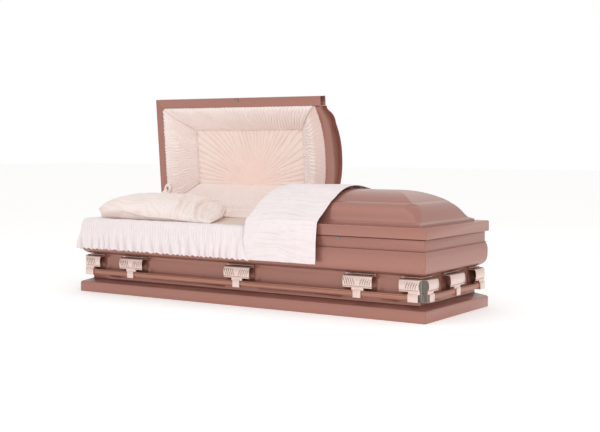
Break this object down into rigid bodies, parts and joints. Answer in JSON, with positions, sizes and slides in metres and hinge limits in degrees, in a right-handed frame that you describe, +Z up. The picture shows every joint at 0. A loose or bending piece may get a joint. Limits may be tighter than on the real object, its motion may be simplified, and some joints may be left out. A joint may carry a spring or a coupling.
{
  "type": "funeral casket",
  "caption": "Half couch steel casket with two hinged lids, tufted lining, pillow, throw, skirt and fixed handle bars all round.",
  "frame": {"origin": "middle of the underside of the casket", "axes": "+X along the casket to the foot end, +Y to the hinge side at the back, +Z up"},
  "size_m": [2.1574, 0.9144, 1.0821],
  "materials": {
    "paint": "metallic rose lacquer, satin gloss",
    "hardware": "rose gold plate, brushed",
    "bar": "copper plate, drawn tube",
    "latch": "bright zinc",
    "hinge": "plain steel",
    "crepe": "shirred crepe",
    "puff_crepe": "gathered crepe",
    "ticking": "plain woven cover"
  },
  "bodies": {
    "body": {"base_moulding_front": "paint", "side_panel_front": "paint", "body_moulding_front": "paint", "base_moulding_back": "paint", "side_panel_back": "paint", "body_moulding_back": "paint", "base_moulding_head": "paint", "side_panel_head": "paint", "body_moulding_head": "paint", "base_moulding_foot": "paint", "side_panel_foot": "paint", "body_moulding_foot": "paint", "bottom_pan": "paint", "bracket_front_head": "hardware", "bracket_front_middle": "hardware", "bracket_front_foot": "hardware", "bracket_back_head": "hardware", "bracket_back_middle": "hardware", "bracket_back_foot": "hardware", "bracket_foot_end": "hardware", "bracket_head_end": "hardware", "corner_foot_front": "hardware", "corner_foot_back": "hardware", "corner_head_front": "hardware", "corner_head_back": "hardware", "bar_front": "bar", "bar_back": "bar", "bar_foot_end": "bar", "bar_head_end": "bar", "bed_deck": "hinge", "mattress": "ticking", "pillow": "crepe", "body_lining_front": "crepe", "body_lining_back": "crepe", "body_lining_head": "crepe", "body_lining_foot": "crepe", "skirt": "puff_crepe", "foot_catch": "latch", "head_lid_hinge_body_leaf": "hinge", "foot_lid_hinge_body_leaf": "hinge"},
    "head_lid": {"head_lid_shell": "paint", "head_lid_rim_front": "paint", "head_lid_rim_back": "paint", "head_lid_rim_end": "paint", "head_lid_header": "paint", "head_lid_hinge_lid_leaf": "hinge", "head_lid_lining_front": "crepe", "head_lid_lining_back": "crepe", "head_lid_lining_head": "crepe", "head_lid_lining_cut": "crepe", "sunburst_panel": "crepe", "head_lid_latch": "latch"},
    "foot_lid": {"foot_lid_shell": "paint", "foot_lid_rim_front": "paint", "foot_lid_rim_back": "paint", "foot_lid_rim_end": "paint", "foot_lid_header": "paint", "foot_lid_hinge_lid_leaf": "hinge", "foot_lid_lining": "crepe", "throw": "puff_crepe"}
  },
  "joints": [
    {"name": "head_lid_hinge", "type": "hinge", "parent": "body", "child": "head_lid", "pos_m": [0, 0.352, 0.378], "axis": [-1, 0, 0], "range_deg": [-85.4, 0], "deforming": ["skirt", "pillow"]},
    {"name": "foot_lid_hinge", "type": "hinge", "parent": "body", "child": "foot_lid", "pos_m": [0, 0.352, 0.378], "axis": [-1, 0, 0], "range_deg": [0, 85.4]}
  ]
}
